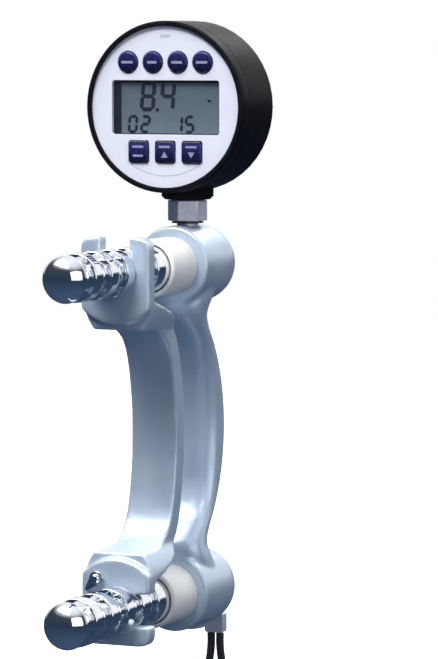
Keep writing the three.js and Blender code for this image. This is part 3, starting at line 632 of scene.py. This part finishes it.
HOUSING_R = (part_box("body_casting")[1].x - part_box("body_casting")[0].x) / 2
HOUSING_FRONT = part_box("body_casting")[0].y
HOUSING_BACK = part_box("body_casting")[1].y
HOUSING_STRAIGHT = 7 * MM           # the housing is round as far as here, behind the gauge's stem
HOUSING_PAD_R = 4.6 * MM
HOUSING_EDGE = 0.6 * MM
HOUSING_SQUARENESS = 0.8
DOME_PAST_BACK = 1.6 * MM           # the dome would end here, but for its flat pad
DOME_STEPS = 24
BOSS_R = 6.4 * MM
BOSS_START = 6 * MM                 # above the upper post's axis
HANDLE_SIDES = 56
HANDLE_SQUARENESS = 2.7
HANDLE_ROWS = 110
# The fixed handle's side view: height above the middle, front and rear from the stem,
# and half width, in mm.
FIXED_HANDLE = [
    (0, 5, 17, 9), (12, 4, 15.6, 9), (22, 1.8, 12.2, 9), (31, -2.6, 7.4, 9),
    (37, -9, 3.2, 9.2), (42, -13.6, 0.6, 9.8), (47, -14, 2.5, 11), (53, -12, 7, 12),
]


def handle_row(height):
    """Front, rear and half width at a height, eased between the listed rows."""
    rows = FIXED_HANDLE
    h = min(abs(height), rows[-1][0])
    i = max(1, next(k for k, row in enumerate(rows) if row[0] >= h - 1e-9))
    before, a, b = rows[max(i - 2, 0)], rows[i - 1], rows[i]
    after = rows[min(i + 1, len(rows) - 1)]
    span = b[0] - a[0]
    t = (h - a[0]) / span
    values = []
    for k in (1, 2, 3):
        slope_a = 0 if i == 1 else (b[k] - before[k]) / (b[0] - before[0])
        slope_b = (after[k] - a[k]) / (after[0] - a[0])
        bend = t * (1 - t) ** 2 * span * slope_a - t * t * (1 - t) * span * slope_b
        values.append(a[k] + (b[k] - a[k]) * t * t * (3 - 2 * t) + bend)
    return values


def squared(value):
    """A cosine or sine, for a ring that is part circle and part square."""
    return math.copysign(abs(value) ** (2 / HANDLE_SQUARENESS), value)


def handle_ring(form, height):
    front, rear, half_width = (v * MM for v in handle_row(height))
    ring = []
    for i in range(HANDLE_SIDES):
        angle = 2 * math.pi * i / HANDLE_SIDES
        x = half_width * squared(math.cos(angle))
        y = STEM_Y + (front + rear) / 2 + (rear - front) / 2 * squared(math.sin(angle))
        ring.append(form.verts.new((x, y, height * MM)))
    return ring


def handle_shell():
    form = bmesh.new()
    top = FIXED_HANDLE[-1][0]
    heights = [-top + 2 * top * i / HANDLE_ROWS for i in range(HANDLE_ROWS + 1)]
    rings = [handle_ring(form, height) for height in heights]
    for low, high in zip(rings, rings[1:]):
        for i in range(len(low)):
            j = (i + 1) % len(low)
            form.faces.new((low[i], low[j], high[j], high[i]))
    form.faces.new(rings[0])
    form.faces.new(rings[-1])
    bmesh.ops.recalc_face_normals(form, faces=form.faces)
    mesh = bpy.data.meshes.new("handle_shell")
    form.to_mesh(mesh)
    form.free()
    return mesh


def housing_shell(z):
    straight = STEM_Y + HOUSING_STRAIGHT
    dome = HOUSING_BACK + DOME_PAST_BACK - straight
    profile = [(0, HOUSING_FRONT), (HOUSING_R - HOUSING_EDGE, HOUSING_FRONT)]
    profile.append((HOUSING_R, HOUSING_FRONT + HOUSING_EDGE))
    for i in range(DOME_STEPS + 1):
        angle = math.pi / 2 * i / DOME_STEPS
        y = straight + dome * math.sin(angle)
        if y < HOUSING_BACK:
            profile.append((HOUSING_R * math.cos(angle) ** HOUSING_SQUARENESS, y))
    profile += [(HOUSING_PAD_R, HOUSING_BACK), (0, HOUSING_BACK)]
    return lathe("housing_shell", profile, Vector((0, 0, z)), 128)


def joined(name, meshes):
    form = bmesh.new()
    for mesh in meshes:
        form.from_mesh(mesh)
    mesh = bpy.data.meshes.new(name)
    form.to_mesh(mesh)
    form.free()
    return mesh


def make_casting():
    boss_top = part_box("body_casting")[1].z
    boss_bottom = POST_Z + BOSS_START
    boss = [(0, boss_bottom), (BOSS_R, boss_bottom), (BOSS_R, boss_top), (0, boss_top)]
    shells = [
        handle_shell(),
        housing_shell(POST_Z),
        housing_shell(-POST_Z),
        lathe("boss_shell", [(r, -z) for r, z in boss], Vector((0, STEM_Y, 0)), 64, "Z"),
    ]
    casting = new_piece("cast_body", joined("cast_body", shells), "paint")
    remeshed(casting, 0.6 * MM, 7)
    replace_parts(casting, "body_casting")


def make_adjustable_handle():
    mesh = clean_copy("adjustable_handle")
    handle = new_piece("finger_grip", mesh, "paint", "finger_handle")
    remeshed(handle, 0.5 * MM, 16)
    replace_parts(handle, "adjustable_handle")


# ---------------------------------------------------------------- posts and bushes

# Radii, and places along the post from the gauge's stem, in mm.
POST = {
    "ring": 8.6, "groove": 5.4, "width": 6.6, "groove1": -46.2, "pitch": 12.7, "grooves": 5,
    "nose_start": -99.5, "nose_length": 7, "nose_end": -100.7, "nose_steps": 16,
    "back": -8.3, "edge": 0.5, "root": 0.5,
}
# The bush in section, as (radius, place along the post), and the radius of each corner.
BUSH_OUTLINE = [
    (8.9, -20), (8.9, -34), (10.5, -34), (10.5, -14.3),
    (9.9, -14.3), (9.9, -8.9), (8.9, -8.9), (8.9, -20),
]
BUSH_CORNERS = [0, 0.4, 1.4, 0.3, 0, 0, 0, 0]
POSTS = (("upper", POST_Z), ("lower", -POST_Z))


def post_profile():
    """The nose, then the grooves from the tip to the housing."""
    ring, groove, edge, root = POST["ring"], POST["groove"], POST["edge"], POST["root"]
    start, length, steps = POST["nose_start"], POST["nose_length"], POST["nose_steps"]
    nose_angle = math.acos((start - POST["nose_end"]) / length)
    points = []
    for i in range(steps + 1):
        angle = nose_angle * i / steps
        points.append((ring * math.sin(angle), start - length * math.cos(angle)))
    for number in range(POST["grooves"], 0, -1):
        centre = POST["groove1"] - POST["pitch"] * (number - 1)
        near, far = centre - POST["width"] / 2, centre + POST["width"] / 2
        before, before_radii = [(ring, near - 1.5), (ring, near)], [0, edge]
        if number == POST["grooves"]:
            before, before_radii = [points.pop()], [0]
        corners = before + [(groove, near), (groove, far), (ring, far), (ring, far + 1.5)]
        points += rounded_profile(corners, before_radii + [root, root, edge, 0], 3)
    points += [(ring, POST["back"]), (0, POST["back"])]
    return [(r * MM, STEM_Y + y * MM) for r, y in points]


def make_posts():
    for side, z in POSTS:
        mesh = lathe(side + "_chrome_post", post_profile(), Vector((0, 0, z)), sharp=60)
        made = new_piece(side + "_chrome_post", mesh, "chrome", side + "_plunger")
        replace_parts(made, side + "_post")


def make_bushes():
    outline = rounded_profile(BUSH_OUTLINE, BUSH_CORNERS, 6)
    profile = [(r * MM, STEM_Y + y * MM) for r, y in outline]
    for side, z in POSTS:
        mesh = lathe(side + "_guide", profile, Vector((0, 0, z)), sharp=60)
        made = new_piece(side + "_guide", mesh, "nylon")
        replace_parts(made, side + "_bush")


# ---------------------------------------------------------------- gauge

def plate_mesh(name, outline, depth):
    """A flat outline of (x, z) points, from its front at -depth back to 0 in Y."""
    form = bmesh.new()
    face = form.faces.new([form.verts.new((x, 0, z)) for x, z in outline])
    moved = bmesh.ops.extrude_face_region(form, geom=[face])["geom"]
    verts = [v for v in moved if isinstance(v, bmesh.types.BMVert)]
    bmesh.ops.translate(form, verts=verts, vec=(0, -depth, 0))
    bmesh.ops.recalc_face_normals(form, faces=form.faces)
    mesh = bpy.data.meshes.new(name)
    form.to_mesh(mesh)
    form.free()
    return mesh


INK_DEPTH = 0.06 * MM
MARK_LIFT = 0.01 * MM                # clear of the face that it is on


def mark(name, outlines, front, material, slot, body="frame", depth=INK_DEPTH):
    """Thin shapes on a face whose front is at that Y: printed marks, and the painted shadow of the
    display's recess.
    """
    mesh = joined(name, [plate_mesh(name, outline, depth) for outline in outlines])
    mesh.transform(Matrix.Translation((0, front - MARK_LIFT, 0)))
    return new_piece(name, mesh, slot, body, material)


def bar(x0, z0, x1, z1):
    return [(x0, z0), (x1, z0), (x1, z1), (x0, z1)]


def centred_bar(x, z, half_width, half_height):
    return bar(x - half_width, z - half_height, x + half_width, z + half_height)


# The bars of each number that is shown.
SEGMENTS = {"0": "abcdef", "1": "bc", "2": "abged", "4": "fgbc", "5": "afgcd", "8": "abcdefg"}
DIGIT_SLANT = 0.08
# Numbers by their left edge; then the foot, width, height and stroke of the row, in mm
# from the middle of the display.
LARGE_NUMBERS = {"8": -11.1, "4": -3.2}
LARGE_ROW = (-1.5, 6, 11, 1.5)
SMALL_NUMBERS = {"0": -16, "2": -11, "1": 2, "5": 6.6}
SMALL_ROW = (-9.4, 4, 6.6, 1.1)
POINT = (-4.6, -1.5, -3.4, -0.3)
DASH = (16, 2, 17.4, 2.8)
# The dark border of the display, in mm.
# Painted shadow of the window's recess along the display's edges, widest at the left, in mm.
RECESS_SHADOW = {"outside": 0.3, "left": 3, "top": 0.9, "bottom": 0.4, "right": 0.5, "depth": 0.3}


def segment_outline(letter, width, height, stroke):
    """One bar of a seven-segment digit, with pointed ends, from its lower left corner."""
    half, gap = stroke / 2, stroke * 0.06
    flat = {"a": height - half, "g": height / 2, "d": half}
    if letter in flat:
        z, left, right = flat[letter], half + gap, width - half - gap
        return [
            (left, z), (left + half, z - half), (right - half, z - half),
            (right, z), (right - half, z + half), (left + half, z + half),
        ]
    x = half if letter in "fe" else width - half
    low = half + gap if letter in "ec" else height / 2 + gap
    high = height / 2 - gap if letter in "ec" else height - half - gap
    return [
        (x, low), (x + half, low + half), (x + half, high - half),
        (x, high), (x - half, high - half), (x - half, low + half),
    ]


def digit(character, x, z, width, height, stroke):
    outlines = []
    for letter in SEGMENTS[character]:
        outline = segment_outline(letter, width, height, stroke)
        outlines.append([(x + px + pz * DIGIT_SLANT, z + pz) for px, pz in outline])
    return outlines


def make_display():
    centre_x, centre_z = DISPLAY.x, DISPLAY.z
    shapes = []
    for numbers, (foot, *sizes) in ((LARGE_NUMBERS, LARGE_ROW), (SMALL_NUMBERS, SMALL_ROW)):
        for character, x in numbers.items():
            place = (centre_x + x * MM, centre_z + foot * MM)
            shapes += digit(character, *place, *(v * MM for v in sizes))
    for x0, z0, x1, z1 in (POINT, DASH):
        low = (centre_x + x0 * MM, centre_z + z0 * MM)
        shapes.append(bar(*low, centre_x + x1 * MM, centre_z + z1 * MM))
    mark("display_segments", shapes, DISPLAY_FRONT, DARK_INK, "display")

    # Painted shadow: a dark band round the display, widest at the left, where the window's recess
    # is in shade.
    low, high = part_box("display_window")
    outside = RECESS_SHADOW["outside"] * MM
    left, right = low.x - outside, high.x + outside
    bottom, top = low.z - outside, high.z + outside
    inner_left, inner_right = left + RECESS_SHADOW["left"] * MM, right - RECESS_SHADOW["right"] * MM
    inner_bottom, inner_top = bottom + RECESS_SHADOW["bottom"] * MM, top - RECESS_SHADOW["top"] * MM
    recess_shadow_bands = [
        bar(left, bottom, inner_left, top),
        bar(inner_left, inner_top, right, top),
        bar(inner_left, bottom, right, inner_bottom),
        bar(inner_right, inner_bottom, right, inner_top),
    ]
    depth = RECESS_SHADOW["depth"] * MM
    mark("display_recess_shadow", recess_shadow_bands, DISPLAY_FRONT, RECESS_SHADOW_INK, "display", depth=depth)


ROUND_MARK_HALF_WIDTHS = (2.3, 1.9, 2.1, 2.2)
ROUND_MARK_HALF_HEIGHT = 0.45
# Under the bar on each square key, in mm from the key's middle.
SQUARE_MARKS = (
    [(-2, -1.8), (2, -1.8), (2, -1), (-2, -1)],
    [(-1.3, -2), (1.3, -2), (0, 0.2)],
    [(-1.3, 0), (0, -2.2), (1.3, 0)],
)
SQUARE_BAR = (-2.2, 1.5, 2.2, 2.3)


def make_key_marks():
    """Plain bars and triangles in place of the printed words."""
    for i, half_width in enumerate(ROUND_MARK_HALF_WIDTHS, 1):
        node = f"round_key_{i}"
        centre, front = middle(node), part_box(node)[0].y
        shape = centred_bar(centre.x, centre.z, half_width * MM, ROUND_MARK_HALF_HEIGHT * MM)
        mark(f"round_mark_{i}", [shape], front, WHITE_INK, "key", node + "_body")
    for i, outline in enumerate(SQUARE_MARKS, 1):
        node = f"square_key_{i}"
        centre, front = middle(node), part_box(node)[0].y
        shapes = [
            [(centre.x + x * MM, centre.z + z * MM) for x, z in shape]
            for shape in (bar(*SQUARE_BAR), outline)
        ]
        mark(f"square_mark_{i}", shapes, front, WHITE_INK, "key", node + "_body")


FACE_ARC = {"radius": 24.9 * MM, "half_width": 0.16 * MM, "from": -127, "to": -53, "steps": 48}
FACE_BAR_RISE = 25.6 * MM


def make_face_marks():
    """A short bar above the keys and a thin arc below them, in place of printed words."""
    low, high = math.radians(FACE_ARC["from"]), math.radians(FACE_ARC["to"])
    steps = FACE_ARC["steps"]
    outer = FACE_ARC["radius"] + FACE_ARC["half_width"]
    inner = FACE_ARC["radius"] - FACE_ARC["half_width"]
    angles = [low + (high - low) * k / steps for k in range(steps + 1)]
    edge = [(outer, angle) for angle in angles] + [(inner, angle) for angle in reversed(angles)]
    arc = [(r * math.cos(angle), GAUGE.z + r * math.sin(angle)) for r, angle in edge]
    shapes = [arc, centred_bar(0, GAUGE.z + FACE_BAR_RISE, 2 * MM, 0.5 * MM)]
    mark("face_marks", shapes, PLATE_FRONT, GREY_INK, "face_white")


# The bezel's opening, the seat for the face plate inside it, and its corners, in metres.
BEZEL_OPENING = 29.2 * MM
BEZEL_SEAT_R = 30.1 * MM
BEZEL_GAP = 0.3 * MM
BEZEL_CORNERS = [0, 0.35 * MM, 0.9 * MM, 0.25 * MM, 0, 0, 0, 0]
# How far the edges of each small part are broken, in mm.
GAUGE_BEVELS = {
    "gauge_case": 0.3, "rear_cover": 0.2, "face_plate": 0.12, "display_window": 0.1,
    "gauge_stem": 0.35,
    "round_key_1": 0.2, "round_key_2": 0.2, "round_key_3": 0.2, "round_key_4": 0.2,
    "square_key_1": 0.3, "square_key_2": 0.3, "square_key_3": 0.3,
}
SMALL_BEVELS = {
    "bleed_screw": 0.15, "strap_eye": 0.15, "strap_link": 0.15, "strap_crimp": 0.15,
    "handle_clip": 0.15, "clip_pin": 0.15,
    "rear_screw_1": 0.12, "rear_screw_2": 0.12, "rear_screw_3": 0.12,
}
CHROME_PARTS = ("handle_clip", "clip_pin")


def make_gauge():
    front, back = GAUGE_FRONT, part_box("gauge_bezel")[1].y
    seat = PLATE_FRONT - BEZEL_GAP
    inner, seat_r, radius = BEZEL_OPENING, BEZEL_SEAT_R, GAUGE_RADIUS
    outline = [
        (inner, (front + seat) / 2), (inner, front), (radius, front), (radius, back),
        (seat_r, back), (seat_r, seat), (inner, seat), (inner, (front + seat) / 2),
    ]
    profile = rounded_profile(outline, BEZEL_CORNERS, 5)
    mesh = lathe("bezel_ring", profile, Vector((0, 0, GAUGE.z)), 160)
    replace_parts(new_piece("bezel_ring", mesh, "black_plastic"), "gauge_bezel")
    for node, width in GAUGE_BEVELS.items():
        bevelled(node, width * MM)
    make_display()
    make_key_marks()
    make_face_marks()


def make_small_parts():
    for node, width in SMALL_BEVELS.items():
        bevelled(node, width * MM, MATERIALS["chrome"] if node in CHROME_PARTS else None)


def paint_the_rest():
    """Every CAD node that still shows takes its slot's material."""
    for node, shown in frame["nodes"].items():
        shown.data.materials.clear()
        shown.data.materials.append(MATERIALS[slot_of(node)])


# ---------------------------------------------------------------- wrist strap

STRAP_Y = middle("strap_crimp").y
# X and Z down one side of the loop, in mm, as in the CAD.
STRAP_SIDE = [
    (-1.8, -80.3), (-1.9, -86), (-3.4, -95), (-6.2, -107), (-9.4, -121), (-12, -136),
    (-13, -150), (-12.2, -163), (-8.9, -174), (-4.6, -179.6), (0, -181.4),
]
STRAP_ROUTE = STRAP_SIDE + [(-x, z) for x, z in reversed(STRAP_SIDE[:-1])]
STRAP_DIAMETER = 0.003


def make_strap():
    curve = bpy.data.curves.new("strap_cord", "CURVE")
    curve.dimensions = "3D"
    curve.bevel_depth = STRAP_DIAMETER / 2
    curve.bevel_resolution = 6
    curve.use_fill_caps = True
    spline = curve.splines.new("BEZIER")
    spline.bezier_points.add(len(STRAP_ROUTE) - 1)
    for point, (x, z) in zip(spline.bezier_points, STRAP_ROUTE):
        point.co = (x * MM, STRAP_Y, z * MM)
        point.handle_left_type = "AUTO"
        point.handle_right_type = "AUTO"
    spline.resolution_u = 12
    strap = bpy.data.objects.new("strap_cord", curve)
    bpy.context.scene.collection.objects.link(strap)
    curve.materials.append(MATERIALS["cord"])
    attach(strap, "frame")
    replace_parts(strap, "wrist_strap")
    x, z = STRAP_ROUTE[0]


# ---------------------------------------------------------------- everything

make_camera()
make_strap()
make_studio()
paint_the_rest()
make_casting()
make_adjustable_handle()
make_posts()
make_bushes()
make_gauge()
make_small_parts()
